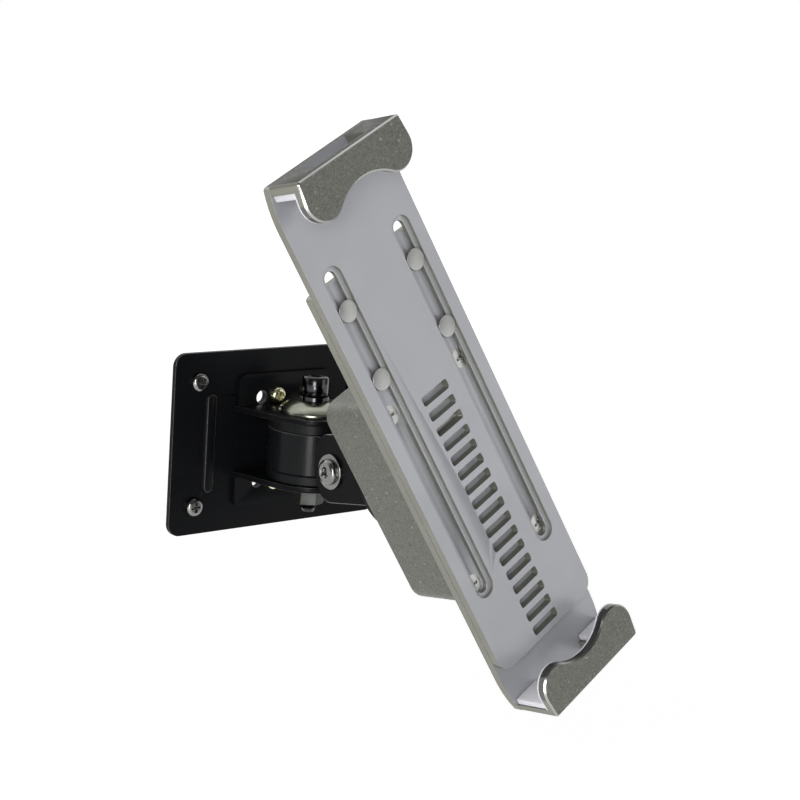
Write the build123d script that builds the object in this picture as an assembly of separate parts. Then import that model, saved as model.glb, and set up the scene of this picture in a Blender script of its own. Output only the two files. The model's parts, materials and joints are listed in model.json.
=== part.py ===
from build123d import *
import math
import os

# Locking mount for a wall: a plate with a pan and tilt knuckle, a swivel and a clamp with two jaws.
# All sizes are in millimetres. +X is to the right, +Y goes into the wall and +Z is up.
# The origin is the centre of the wall plate's back face, so the clamp's open side faces -Y.

# Wall plate and its screws
plate_width = 100.0
plate_height = 70.0
plate_thickness = 2.0
plate_corner_radius = 5.0
bead_centre_x = 33.5
bead_width = 5.0
bead_length = 39.0
bead_height = 1.0
wall_screw_spacing_x = 79.0
wall_screw_spacing_z = 48.0
wall_screw_radius = 2.0
wall_screw_head_radius = 3.6
wall_screw_head_height = 2.4
wall_screw_neck_radius = 2.2
wall_screw_hole_clearance = 0.1
wall_screw_reach = 14.0
wall_screw_point = 4.0
wall_screw_tip_radius = 0.4

# Bracket ears that hold the upright pan bolt
ear_thickness = 2.0
ear_gap = 23.6
ear_root_half_width = 23.0
ear_end_radius = 18.5
flange_height = 12.0
flange_half_width = 22.0
flange_corner_radius = 3.0
bracket_screw_near_x = -4.5
bracket_screw_far_x = 11.0
spare_hole_x = -11.3
spare_hole_radius = 2.7
bracket_screw_radius = 1.95
bracket_screw_head_radius = 3.2
bracket_screw_head_height = 2.4
bracket_screw_end_gap = 0.2

# Pan joint
pan_standoff = 20.0
pan_bolt_radius = 3.0
pan_head_radius = 5.0
pan_head_height = 7.5
pan_socket_width = 5.0
pan_socket_depth = 3.3
pan_thread_end = 3.4
dome_radius = 13.5
dome_height = 4.5
dome_sheet = 1.3
dome_rim = 0.9
dome_foot = 1.6
dome_arc_height = 0.8
hub_radius = 17.0
friction_disc_thickness = 4.0
small_washer_radius = 6.0
small_washer_thickness = 1.2
spring_washer_outer_radius = 5.5
spring_washer_thickness = 1.6
spring_washer_slit = 1.0
pan_nut_across_flats = 10.0
pan_nut_height = 5.2
pan_nut_turn = 20.0

# Tilt joint
tilt_reach = 35.5
tongue_half_width = 14.7
tongue_to_ear_gap = 0.8
neck_half_width = 9.0
fork_sheet = 2.5
tilt_pad_thickness = 0.8
fork_half_height = 12.5
fork_rise = 1.0
fork_back_reach = 9.9
fork_back_arc_radius = 28.0
fork_corner_radius = 8.0
fork_bend_radius = 3.0
tilt_bolt_radius = 3.0
tilt_head_radius = 4.75
tilt_head_height = 2.2
tilt_head_round = 1.8
tilt_socket_width = 4.0
tilt_socket_depth = 1.4
tilt_washer_radius = 6.4
tilt_washer_thickness = 1.2
tilt_pad_radius = 9.5
tilt_nut_height = 6.0
tilt_thread_end = 1.4
tilt_at_rest = 11.0

# Clamp seen along its own axes: across, depth behind the held face, along the slide
slide_lean = 28.5
upper_jaw_edge = 122.7
lower_jaw_edge = -86.0
tablet_slot = 11.0
jaw_sheet = 3.0
plate_gap = 0.3
jaw_edge_half_width = 23.9
jaw_flare = 2.3
lobe_radius = 8.0
lobe_setback = 7.1
lobe_centre_inward = 8.5
notch_radius = 18.8
jaw_corner_radius = 1.3
lip_chamfer = 0.6
window_half_length = 11.8
window_corner_radius = 2.0
jaw_flare_length = 15.0
upper_arm_tail_gap = 0.6
upper_arm_tail_radius = 6.0
lower_arm_end = 84.2
lower_arm_corner_radius = 1.5
pad_thickness = 2.4
pad_window_gap = 1.1
pad_end_setback = 2.2
pad_side_gap = 0.1
lip_pad_thickness = 0.8

# Slide guides and the row of lock slots
slide_in_length = 12.0
slide_out_length = 84.0
lock_pitch = 6.0
lock_slot_side_gap = 0.3
lock_slot_end_gap = 0.5
lock_slot_corner_radius = 1.0
guide_across = 17.0
guide_near_station = 48.0
guide_far_station = 74.0
guide_shoulder_radius = 2.4
guide_stem_radius = 2.0
guide_slot_clearance = 0.1
guide_head_radius = 3.8
guide_head_thickness = 1.0
guide_head_clearance = 0.4
guide_recess_depth = 1.4

# Lock housing
housing_half_width = 25.0
housing_half_length = 41.0
housing_wall = 2.5
housing_corner_radius = 7.0
housing_back_edge_radius = 2.0
boss_setback = 6.4
boss_radius = 4.0
housing_screw_radius = 2.0
housing_screw_head_radius = 3.6
housing_screw_head_depth = 1.8
housing_screw_length = 14.0

# Key lock
barrel_radius = 8.0
barrel_flange_radius = 9.6
barrel_flange_thickness = 2.0
barrel_nut_corner_radius = 10.4
barrel_nut_side_gap = 0.7
barrel_nut_to_boss_gap = 0.2
barrel_nut_thickness = 3.5
plug_radius = 5.0
plug_proud = 0.3
plug_inner_reach = 0.5
key_slot_width = 1.8
key_slot_length = 7.0
key_slot_depth = 9.0
cam_radius = 6.5
cam_thickness = 3.0
cam_side_gap = 0.2
cam_pin_radius = 1.5
cam_pin_offset = 1.9
cam_pin_floor_gap = 0.4
cam_slot_end_gap = 0.3
lock_turn = 90.0
bolt_half_width = 6.0
bolt_half_height = 6.0
bolt_nose_half_height = 1.5
bolt_rear_wall = 1.65
bolt_plate_clearance = 0.2
bolt_nose_clearance = 0.3
bolt_slot_clearance = 0.1
bolt_slot_floor = 2.2
bolt_shoulder_clearance = 0.2
guide_block_wall = 2.7
guide_block_pin_gap = 0.5
guide_block_clearance = 0.1

# Swivel between the fork and the housing
swivel_bolt_radius = 4.0
swivel_clearance = 0.1
swivel_head_across_flats = 13.0
swivel_head_height = 5.3
swivel_washer_radius = 12.0
swivel_washer_thickness = 2.0
swivel_disc_radius = 22.0
swivel_disc_thickness = 2.0
swivel_plate_radius = 23.0
swivel_plate_thickness = 2.0
swivel_nut_height = 5.0
swivel_spring_washer_thickness = 1.5
swivel_spring_washer_radius = 7.0
swivel_thread_end = 0.2
swivel_to_tongue_gap = 0.8

# Clearances, edges and screw heads
running_clearance = 0.05
bolt_hole_clearance = 0.15
washer_clearance = 0.2
edge_chamfer = 0.5
thread_chamfer = 0.6
hex_corner_share = 0.6
bead_edge_share = 0.7
screw_dome_share = 0.6
cross_arm_width = 1.1
cross_depth_share = 0.6
cross_reach_share = 0.56
cut_margin = 1.0

# Places worked out from the sizes above
plate_front = -plate_thickness
ear_inner = ear_gap / 2
ear_outer = ear_inner + ear_thickness
pan_y = plate_front - pan_standoff
hub_half_height = ear_inner - friction_disc_thickness
tilt_y = pan_y - tilt_reach
wall_screw_hole_radius = wall_screw_neck_radius + wall_screw_hole_clearance
tongue_half_height = ear_inner - tongue_to_ear_gap
swivel_end_reach = swivel_spring_washer_thickness + swivel_nut_height + swivel_thread_end
fork_web_distance = tongue_half_height + swivel_to_tongue_gap + swivel_end_reach
fork_inner_half_width = tongue_half_width + tilt_pad_thickness
fork_outer_half_width = fork_inner_half_width + fork_sheet
arm_half_width = jaw_edge_half_width + jaw_flare
lobe_centre_across = jaw_edge_half_width - lobe_setback
pad_inner_edge = window_half_length + pad_window_gap
pad_outer_edge = arm_half_width - pad_end_setback
upper_arm_tail = lower_jaw_edge + jaw_sheet + pad_thickness + slide_in_length + upper_arm_tail_gap
guide_slot_half_width = guide_shoulder_radius + guide_slot_clearance
guide_recess_half_width = guide_head_radius + guide_head_clearance
lock_slot_half_height = bolt_nose_half_height + lock_slot_side_gap
lock_slot_half_length = bolt_half_width + lock_slot_end_gap
boss_across = housing_half_width - boss_setback
boss_along = housing_half_length - boss_setback
lock_station = boss_along - boss_radius - barrel_nut_to_boss_gap - barrel_nut_corner_radius
upper_plate_front = tablet_slot
upper_plate_back = upper_plate_front + jaw_sheet
lower_plate_front = upper_plate_back + plate_gap
lower_plate_back = lower_plate_front + jaw_sheet
lock_depth = lower_plate_back + barrel_nut_side_gap + barrel_nut_corner_radius
housing_inside_back = lock_depth + barrel_nut_corner_radius + barrel_nut_side_gap
housing_back = housing_inside_back + housing_wall
swivel_disc_front = housing_back
swivel_plate_front = swivel_disc_front + swivel_disc_thickness
fork_web_front = swivel_plate_front + swivel_plate_thickness
fork_web_back = fork_web_front + fork_sheet
face_to_tilt_axis = fork_web_back + fork_web_distance
cam_inner_face = bolt_half_width + guide_block_clearance + guide_block_wall + cam_side_gap
cam_face = cam_inner_face + cam_thickness
cam_pin_end = bolt_slot_floor + cam_pin_floor_gap
barrel_inner_end = cam_face + plug_inner_reach
lock_travel = 2 * cam_pin_offset * math.sin(math.radians(lock_turn / 2))
cam_pin_depth = lock_depth + lock_travel / 2
cam_pin_station = lock_station + cam_pin_offset * math.cos(math.radians(lock_turn / 2))
bolt_tip_depth = upper_plate_back + bolt_plate_clearance
bolt_rear_depth = cam_pin_depth + cam_pin_radius + bolt_slot_clearance + bolt_rear_wall
guide_block_rear_depth = lock_depth - lock_travel / 2 - cam_pin_radius - guide_block_pin_gap
bolt_shoulder_depth = lower_plate_back + lock_travel + bolt_shoulder_clearance

tilt_axis = Vector(0, tilt_y, 0)
tilt_radians = math.radians(tilt_at_rest)
face_centre = tilt_axis + face_to_tilt_axis * Vector(0, -math.cos(tilt_radians), math.sin(tilt_radians))
fork_place = Location(tilt_axis, (-tilt_at_rest, 0, 0))
swivel_place = Location(face_centre, (-tilt_at_rest, 0, 0))
clamp_place = Location(face_centre, (-tilt_at_rest, -slide_lean, 0))


def block(x_range, y_range, z_range):
    """A box between two values on each axis."""
    sides = [(min(pair), max(pair)) for pair in (x_range, y_range, z_range)]
    centre = tuple((low + high) / 2 for low, high in sides)
    return Pos(*centre) * Box(*(high - low for low, high in sides))


def rod(radius, axis, at, span):
    """A round bar along X, Y or Z through the point `at` on the other two axes."""
    low, high = min(span), max(span)
    middle = (low + high) / 2
    turn, centre = {
        "X": (Rotation(0, 90, 0), (middle, at[0], at[1])),
        "Y": (Rotation(90, 0, 0), (at[0], middle, at[1])),
        "Z": (Rotation(0, 0, 0), (at[0], at[1], middle)),
    }[axis]
    return Pos(*centre) * turn * Cylinder(radius, high - low)


def ring(outer, inner, axis, at, span):
    """A washer or tube along one axis."""
    return rod(outer, axis, at, span) - rod(inner, axis, at, span)


def split_ring(outer, inner, axis, at, span):
    """A spring washer: a ring cut through on one side."""
    slit = spring_washer_slit
    reach = outer + cut_margin
    cutter = {
        "Y": block((at[0], at[0] + reach), span, (at[1] - slit / 2, at[1] + slit / 2)),
        "Z": block((at[0] - reach, at[0]), (at[1] - slit / 2, at[1] + slit / 2), span),
    }[axis]
    return ring(outer, inner, axis, at, span) - cutter


def hex_bar(across_flats, axis, at, span, turned=0.0):
    """A hexagon along one axis with its corners turned down at both ends."""
    low, high = min(span), max(span)
    corner = across_flats / math.sqrt(3)
    bevel = hex_corner_share * (corner - across_flats / 2)
    turn, centre = {
        "X": (Rotation(0, 90, 0), (low, at[0], at[1])),
        "Y": (Rotation(-90, 0, 0), (at[0], low, at[1])),
        "Z": (Rotation(0, 0, 0), (at[0], at[1], low)),
    }[axis]
    outline = RegularPolygon(across_flats / 2, 6, major_radius=False, rotation=turned)
    hexagon = extrude(outline, high - low)
    envelope = Pos(0, 0, (high - low) / 2) * Cylinder(corner, high - low)
    envelope = chamfer(envelope.edges().filter_by(GeomType.CIRCLE), bevel)
    return Pos(*centre) * turn * (hexagon & envelope)


def slab(outline, near, far):
    """A plate from an outline drawn across X and along Z, between two depths on Y."""
    plane = Plane(origin=(0, far, 0), x_dir=(1, 0, 0), z_dir=(0, -1, 0))
    return extrude(plane * outline, far - near)


def cross_recess(centre_x, centre_z, head_face, head_height, head_radius):
    """The cutter for a cross recess in a screw head that faces -Y."""
    arm = cross_arm_width
    reach = head_radius * cross_reach_share
    span = (head_face, head_face + head_height * cross_depth_share)
    upright = block((centre_x - arm / 2, centre_x + arm / 2), span, (centre_z - reach, centre_z + reach))
    level = block((centre_x - reach, centre_x + reach), span, (centre_z - arm / 2, centre_z + arm / 2))
    return upright + level


def domed_head(radius, height, centre_x, centre_z, seat_y):
    """A pan head that stands out towards -Y from the face at seat_y."""
    head = rod(radius, "Y", (centre_x, centre_z), (seat_y - height, seat_y))
    rim = head.faces().sort_by(Axis.Y)[0].edges()
    return fillet(rim, height * screw_dome_share)


def group(pieces):
    """Like pieces kept as separate solids in one node."""
    return Compound(children=pieces)


def wall_screw_places():
    half_x, half_z = wall_screw_spacing_x / 2, wall_screw_spacing_z / 2
    return [(sx * half_x, sz * half_z) for sz in (1, -1) for sx in (-1, 1)]


def bracket_screw_places():
    return bracket_screw_near_x, bracket_screw_far_x


def bracket_screw_z():
    return ear_outer + running_clearance + bracket_screw_head_radius


def spare_hole_z():
    return ear_outer + running_clearance + spare_hole_radius


def wall_plate():
    outline = RectangleRounded(plate_width, plate_height, plate_corner_radius)
    plate = slab(outline, plate_front, 0)
    for side in (-1, 1):
        bead = SlotOverall(bead_length, bead_width, rotation=90)
        hollow = SlotOverall(bead_length - 2 * plate_thickness, bead_width - plate_thickness, rotation=90)
        raised = slab(bead, plate_front - bead_height, plate_front)
        front = raised.faces().sort_by(Axis.Y)[0].edges()
        raised = chamfer(front, bead_height * bead_edge_share)
        plate += Pos(side * bead_centre_x, 0, 0) * raised
        plate -= Pos(side * bead_centre_x, 0, 0) * slab(hollow, -bead_height, 0)
    for x, z in wall_screw_places():
        plate -= rod(wall_screw_hole_radius, "Y", (x, z), (plate_front, 0))
    for side in (-1, 1):
        for x in bracket_screw_places():
            plate -= rod(bracket_screw_radius, "Y", (x, side * bracket_screw_z()), (plate_front, 0))
        plate -= rod(spare_hole_radius, "Y", (spare_hole_x, side * spare_hole_z()), (plate_front, 0))
    return plate


def wall_screws():
    pieces = []
    for x, z in wall_screw_places():
        head = domed_head(wall_screw_head_radius, wall_screw_head_height, x, z, plate_front)
        neck = rod(wall_screw_neck_radius, "Y", (x, z), (plate_front, 0))
        shank = rod(wall_screw_radius, "Y", (x, z), (0, wall_screw_reach - wall_screw_point))
        cone = Cone(wall_screw_radius, wall_screw_tip_radius, wall_screw_point)
        point = Pos(x, wall_screw_reach - wall_screw_point / 2, z) * Rotation(-90, 0, 0) * cone
        recess = cross_recess(x, z, plate_front - wall_screw_head_height,
                              wall_screw_head_height, wall_screw_head_radius)
        pieces.append(head + neck + shank + point - recess)
    return group(pieces)


def ear_outline():
    """One ear seen from above: straight sides that run on to a round end."""
    root = Vector(ear_root_half_width, plate_front)
    centre = Vector(0, pan_y)
    offset = root - centre
    swing = math.acos(ear_end_radius / offset.length)
    angle = math.atan2(offset.Y, offset.X) - swing
    touch = centre + ear_end_radius * Vector(math.cos(angle), math.sin(angle))
    mirror_touch = Vector(-touch.X, touch.Y)
    edges = [
        Line((-root.X, root.Y), (root.X, root.Y)),
        Line((root.X, root.Y), touch),
        ThreePointArc(touch, (0, pan_y - ear_end_radius), mirror_touch),
        Line(mirror_touch, (-root.X, root.Y)),
    ]
    return make_face(edges)


def bracket_ear(side):
    """An angle bracket: an ear that stands out and a flange on the plate, away from the hub."""
    ear = Pos(0, 0, ear_inner) * extrude(ear_outline(), ear_thickness)
    flange = block((-flange_half_width, flange_half_width), (plate_front - ear_thickness, plate_front),
                   (ear_inner, ear_outer + flange_height))
    flange = fillet(flange.edges().filter_by(Axis.Y).group_by(Axis.Z)[-1], flange_corner_radius)
    piece = ear + flange
    piece -= rod(pan_bolt_radius + bolt_hole_clearance, "Z", (0, pan_y), (ear_inner, ear_outer))
    span = (plate_front - ear_thickness, plate_front)
    for x in bracket_screw_places():
        piece -= rod(bracket_screw_radius, "Y", (x, bracket_screw_z()), span)
    piece -= rod(spare_hole_radius, "Y", (spare_hole_x, spare_hole_z()), span)
    return piece if side > 0 else mirror(piece, about=Plane.XY)


def bracket_screws():
    pieces = []
    seat = plate_front - ear_thickness
    for side in (1, -1):
        z = side * bracket_screw_z()
        for x in bracket_screw_places():
            head = domed_head(bracket_screw_head_radius, bracket_screw_head_height, x, z, seat)
            shank = rod(bracket_screw_radius, "Y", (x, z), (seat, -bracket_screw_end_gap))
            recess = cross_recess(x, z, seat - bracket_screw_head_height,
                                  bracket_screw_head_height, bracket_screw_head_radius)
            pieces.append(head + shank - recess)
    return group(pieces)


def bulged_line(start, end, bulge):
    """An arc between two points, drawn outwards and up from its chord by the bulge."""
    first, last = Vector(*start), Vector(*end)
    chord = last - first
    outward = Vector(chord.Y, -chord.X) * (bulge / chord.length)
    return ThreePointArc(first, (first + last) * 0.5 + outward, last)


def pan_dome_washer():
    """A pressed sheet washer, domed upwards, that spreads the pan bolt's pull."""
    top = ear_outer + dome_height
    under = top - dome_sheet
    crown = small_washer_radius
    bore = pan_bolt_radius + washer_clearance
    foot = dome_radius - dome_foot
    outline = [
        Line((dome_radius, ear_outer), (dome_radius, ear_outer + dome_rim)),
        bulged_line((dome_radius, ear_outer + dome_rim), (crown, top), dome_arc_height),
        Line((crown, top), (bore, top)),
        Line((bore, top), (bore, under)),
        Line((bore, under), (crown, under)),
        bulged_line((foot, ear_outer), (crown, under), dome_arc_height),
        Line((foot, ear_outer), (dome_radius, ear_outer)),
    ]
    profile = Plane.XZ * make_face(outline)
    return Pos(0, pan_y, 0) * revolve(profile, Axis.Z)


def pan_spring_washer():
    low = ear_outer + dome_height
    span = (low, low + spring_washer_thickness)
    return split_ring(spring_washer_outer_radius, pan_bolt_radius + washer_clearance, "Z", (0, pan_y), span)


def pan_nut_top():
    return -ear_outer - small_washer_thickness - spring_washer_thickness


def pan_bolt():
    seat = ear_outer + dome_height + spring_washer_thickness
    head = rod(pan_head_radius, "Z", (0, pan_y), (seat, seat + pan_head_height))
    head = chamfer(head.edges().filter_by(GeomType.CIRCLE), edge_chamfer)
    tip = pan_nut_top() - pan_nut_height - pan_thread_end
    shank = rod(pan_bolt_radius, "Z", (0, pan_y), (tip, seat))
    shank = chamfer(shank.edges().filter_by(GeomType.CIRCLE).sort_by(Axis.Z)[0], thread_chamfer)
    top = seat + pan_head_height
    socket = extrude(RegularPolygon(pan_socket_width / 2, 6, major_radius=False), pan_socket_depth)
    return head + shank - Pos(0, pan_y, top - pan_socket_depth) * socket


def pan_lower_washers():
    flat_top = -ear_outer
    flat_bottom = flat_top - small_washer_thickness
    bore = pan_bolt_radius + washer_clearance
    flat = ring(small_washer_radius, bore, "Z", (0, pan_y), (flat_bottom, flat_top))
    sprung = split_ring(spring_washer_outer_radius, bore, "Z", (0, pan_y),
                        (flat_bottom - spring_washer_thickness, flat_bottom))
    return flat, sprung


def pan_lock_nut():
    span = (pan_nut_top() - pan_nut_height, pan_nut_top())
    nut = hex_bar(pan_nut_across_flats, "Z", (0, pan_y), span, pan_nut_turn)
    return nut - rod(pan_bolt_radius, "Z", (0, pan_y), span)


def knuckle():
    """The hub that turns about the upright bolt, with a neck to the barrel that holds the tilt bolt."""
    hub_span = (-hub_half_height, hub_half_height)
    tongue_span = (-tongue_half_width, tongue_half_width)
    hub = rod(hub_radius, "Z", (0, pan_y), hub_span)
    neck = block((-neck_half_width, neck_half_width), (tilt_y, pan_y), hub_span)
    tongue = rod(tongue_half_height, "X", (tilt_y, 0), tongue_span)
    body = hub + neck + tongue
    body -= rod(pan_bolt_radius + running_clearance, "Z", (0, pan_y), hub_span)
    return body - rod(tilt_bolt_radius + running_clearance, "X", (tilt_y, 0), tongue_span)


def friction_disc(side):
    """A hard plastic disc between the hub and one ear."""
    span = (hub_half_height, ear_inner)
    disc = ring(hub_radius, pan_bolt_radius + running_clearance, "Z", (0, pan_y), span)
    rims = disc.edges().filter_by(GeomType.CIRCLE).sort_by(SortBy.RADIUS)[-2:]
    disc = chamfer(rims, edge_chamfer)
    return disc if side > 0 else mirror(disc, about=Plane.XY)


def tilt_friction_washers():
    inner = tilt_bolt_radius + running_clearance
    return group([ring(tilt_pad_radius, inner, "X", (tilt_y, 0),
                       (side * tongue_half_width, side * fork_inner_half_width)) for side in (-1, 1)])


def fork_ear_outline():
    """One fork ear seen from the side: X is towards the wall, Y is up, from the middle of its height."""
    front = -fork_web_distance - fork_sheet
    drop = fork_back_arc_radius - math.sqrt(fork_back_arc_radius ** 2 - fork_half_height ** 2)
    back = fork_back_reach - drop
    top = fork_half_height
    edges = [
        Line((front, -top), (back, -top)),
        ThreePointArc((back, -top), (fork_back_reach, 0), (back, top)),
        Line((back, top), (front, top)),
        Line((front, top), (front, -top)),
    ]
    face = make_face(edges)
    return fillet(face.vertices().sort_by(Axis.X)[-2:], fork_corner_radius)


def tilt_fork():
    """A bent strip: a web behind the swivel and two ears that straddle the tongue."""
    side_plane = Plane(origin=(-fork_outer_half_width, 0, fork_rise), x_dir=(0, 1, 0), z_dir=(1, 0, 0))
    full = extrude(side_plane * fork_ear_outline(), 2 * fork_outer_half_width)
    inside = block((-fork_inner_half_width, fork_inner_half_width),
                   (-fork_web_distance, fork_back_reach + cut_margin),
                   (fork_rise - fork_half_height - cut_margin, fork_rise + fork_half_height + cut_margin))
    fork = full - inside
    front_corners = fork.edges().filter_by(Axis.Z).group_by(Axis.Y)[0]
    fork = fillet(front_corners, fork_bend_radius)
    ear_span = (-fork_outer_half_width, fork_outer_half_width)
    fork -= rod(tilt_bolt_radius + running_clearance, "X", (0, 0), ear_span)
    web_span = (-fork_web_distance - fork_sheet, -fork_web_distance)
    return fork - rod(swivel_bolt_radius + swivel_clearance, "Y", (0, 0), web_span)


def tilt_bolt():
    seat = -fork_outer_half_width - tilt_washer_thickness
    head = rod(tilt_head_radius, "X", (0, 0), (seat - tilt_head_height, seat))
    rim = head.faces().sort_by(Axis.X)[0].edges()
    head = fillet(rim, tilt_head_round)
    tip = fork_outer_half_width + tilt_washer_thickness + tilt_nut_height + tilt_thread_end
    shank = rod(tilt_bolt_radius, "X", (0, 0), (seat, tip))
    shank = chamfer(shank.edges().filter_by(GeomType.CIRCLE).sort_by(Axis.X)[-1], thread_chamfer)
    hexagon = extrude(RegularPolygon(tilt_socket_width / 2, 6, major_radius=False), tilt_socket_depth)
    socket = Pos(seat - tilt_head_height, 0, 0) * Rotation(0, 90, 0) * hexagon
    return head + shank - socket


def tilt_washers():
    inner = tilt_bolt_radius + washer_clearance
    return group([ring(tilt_washer_radius, inner, "X", (0, 0),
                       (side * fork_outer_half_width, side * (fork_outer_half_width + tilt_washer_thickness)))
                  for side in (-1, 1)])


def tilt_lock_nut():
    start = fork_outer_half_width + tilt_washer_thickness
    span = (start, start + tilt_nut_height)
    nut = hex_bar(pan_nut_across_flats, "X", (0, 0), span)
    return nut - rod(tilt_bolt_radius, "X", (0, 0), span)


def swivel_plate():
    """The round steel face of the fork."""
    span = (swivel_plate_front, fork_web_front)
    return ring(swivel_plate_radius, swivel_bolt_radius + swivel_clearance, "Y", (0, 0), span)


def swivel_friction_disc():
    span = (swivel_disc_front, swivel_plate_front)
    return ring(swivel_disc_radius, swivel_bolt_radius + swivel_clearance, "Y", (0, 0), span)


def swivel_inner_washer():
    span = (housing_inside_back - swivel_washer_thickness, housing_inside_back)
    return ring(swivel_washer_radius, swivel_bolt_radius + swivel_clearance, "Y", (0, 0), span)


def swivel_bolt():
    seat = housing_inside_back - swivel_washer_thickness
    tip = fork_web_back + swivel_end_reach
    head = hex_bar(swivel_head_across_flats, "Y", (0, 0), (seat - swivel_head_height, seat))
    return head + rod(swivel_bolt_radius, "Y", (0, 0), (seat, tip))


def swivel_spring_washer():
    span = (fork_web_back, fork_web_back + swivel_spring_washer_thickness)
    return split_ring(swivel_spring_washer_radius, swivel_bolt_radius + swivel_clearance, "Y", (0, 0), span)


def swivel_nut():
    start = fork_web_back + swivel_spring_washer_thickness
    span = (start, start + swivel_nut_height)
    nut = hex_bar(swivel_head_across_flats, "Y", (0, 0), span)
    return nut - rod(swivel_bolt_radius, "Y", (0, 0), span)


def lip_outline():
    """The jaw's front lip: X runs along the jaw's outer edge, Y runs from it towards the clamp's middle."""
    lobe = Vector(lobe_centre_across, lobe_centre_inward)
    reach = lobe_radius + notch_radius
    notch = Vector(0, lobe_centre_inward + math.sqrt(reach ** 2 - lobe_centre_across ** 2))
    corner = Vector(jaw_edge_half_width, 0)
    offset = corner - lobe
    side_angle = math.atan2(offset.Y, offset.X) + math.acos(lobe_radius / offset.length)
    meet_angle = math.atan2((notch - lobe).Y, (notch - lobe).X)

    def on_lobe(angle):
        return lobe + lobe_radius * Vector(math.cos(angle), math.sin(angle))

    def flipped(point):
        return Vector(-point.X, point.Y)

    side, middle, meet = on_lobe(side_angle), on_lobe((side_angle + meet_angle) / 2), on_lobe(meet_angle)
    edges = [
        Line(flipped(corner), corner),
        Line(corner, side),
        ThreePointArc(side, middle, meet),
        ThreePointArc(meet, (0, notch.Y - notch_radius), flipped(meet)),
        ThreePointArc(flipped(meet), flipped(middle), flipped(side)),
        Line(flipped(side), flipped(corner)),
    ]
    face = make_face(edges)
    return fillet(face.vertices().sort_by(Axis.Y)[:2], jaw_corner_radius)


def arm_outline(length, tail_radius):
    """A jaw's back plate: it flares from the outer edge to its full width and runs on straight."""
    narrow, wide, run = jaw_edge_half_width, arm_half_width, jaw_flare_length
    flare = wide - narrow
    radius = (run ** 2 + flare ** 2) / (2 * flare)
    half = run / 2
    bulge = wide - radius + math.sqrt(radius ** 2 - half ** 2)
    edges = [
        Line((-narrow, 0), (narrow, 0)),
        ThreePointArc((narrow, 0), (bulge, half), (wide, run)),
        Line((wide, run), (wide, length)),
        Line((wide, length), (-wide, length)),
        Line((-wide, length), (-wide, run)),
        ThreePointArc((-wide, run), (-bulge, half), (-narrow, 0)),
    ]
    face = make_face(edges)
    face = fillet(face.vertices().sort_by(Axis.Y)[-2:], tail_radius)
    return fillet(face.vertices().sort_by(Axis.Y)[:2], jaw_corner_radius)


def jaw(outline_length, tail_radius, plate_near, plate_far):
    """A jaw bent from one sheet, with its outer edge at Z = 0 and the clamp's middle towards +Z."""
    lip_front = -lip_pad_thickness - jaw_sheet
    lip = slab(lip_outline(), lip_front, -lip_pad_thickness)
    arm = slab(arm_outline(outline_length, tail_radius), plate_near, plate_far)
    wall = slab(wall_outline(), lip_front + jaw_sheet / 2, plate_far - jaw_sheet / 2)
    window_outline = RectangleRounded(2 * window_half_length, 4 * jaw_sheet, window_corner_radius)
    window = slab(window_outline, 0, plate_near)
    piece = lip + wall + arm - window
    front_edges = piece.faces().sort_by(Axis.Y)[0].edges()
    return chamfer(front_edges, lip_chamfer)


def wall_outline():
    """The jaw's outer wall seen from the front: a strip along the outer edge."""
    strip = Pos(0, jaw_sheet / 2) * Rectangle(2 * arm_half_width, jaw_sheet)
    return lip_outline() & strip


def upper_jaw():
    """The sliding jaw, its back plate in front, with guide slots and a row of lock slots."""
    length = upper_jaw_edge - upper_arm_tail
    piece = jaw(length, upper_arm_tail_radius, upper_plate_front, upper_plate_back)
    piece = Pos(0, 0, upper_jaw_edge) * Rotation(0, 180, 0) * piece
    through = (upper_plate_front, upper_plate_back)
    slot_low = guide_near_station - slide_out_length
    slot_high = guide_far_station + slide_in_length
    middle, span = (slot_low + slot_high) / 2, slot_high - slot_low
    for side in (-1, 1):
        shaft = SlotCenterToCenter(span, 2 * guide_slot_half_width, rotation=90)
        recess = SlotCenterToCenter(span, 2 * guide_recess_half_width, rotation=90)
        place = Pos(side * guide_across, 0, middle)
        piece -= place * slab(shaft, *through)
        piece -= place * slab(recess, upper_plate_front, upper_plate_front + guide_recess_depth)
    count = round((slide_in_length + slide_out_length) / lock_pitch) + 1
    for index in range(count):
        station = lock_station - slide_out_length + index * lock_pitch
        slot = RectangleRounded(2 * lock_slot_half_length, 2 * lock_slot_half_height, lock_slot_corner_radius)
        piece -= Pos(0, 0, station) * slab(slot, *through)
    return piece


def lower_jaw():
    """The fixed jaw, its back plate behind the sliding one, which carries the lock housing."""
    length = lower_arm_end - lower_jaw_edge
    piece = jaw(length, lower_arm_corner_radius, lower_plate_front, lower_plate_back)
    piece = Pos(0, 0, lower_jaw_edge) * piece
    through = (lower_plate_front, lower_plate_back)
    for x, z in guide_places():
        piece -= rod(guide_stem_radius, "Y", (x, z), through)
    for x, z in boss_places():
        piece -= rod(housing_screw_radius, "Y", (x, z), through)
        piece -= countersink(x, z)
    nose_half_width = bolt_half_width + bolt_nose_clearance
    nose_half_height = bolt_nose_half_height + bolt_nose_clearance
    nose = Rectangle(2 * nose_half_width, 2 * nose_half_height)
    return piece - Pos(0, 0, lock_station) * slab(nose, *through)


def guide_places():
    stations = (guide_near_station, guide_far_station)
    return [(side * guide_across, station) for station in stations for side in (-1, 1)]


def boss_places():
    return [(sx * boss_across, sz * boss_along) for sz in (-1, 1) for sx in (-1, 1)]


def countersink(x, z):
    cone = Cone(housing_screw_head_radius, housing_screw_radius, housing_screw_head_depth)
    middle = lower_plate_front + housing_screw_head_depth / 2
    return Pos(x, middle, z) * Rotation(-90, 0, 0) * cone


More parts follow.
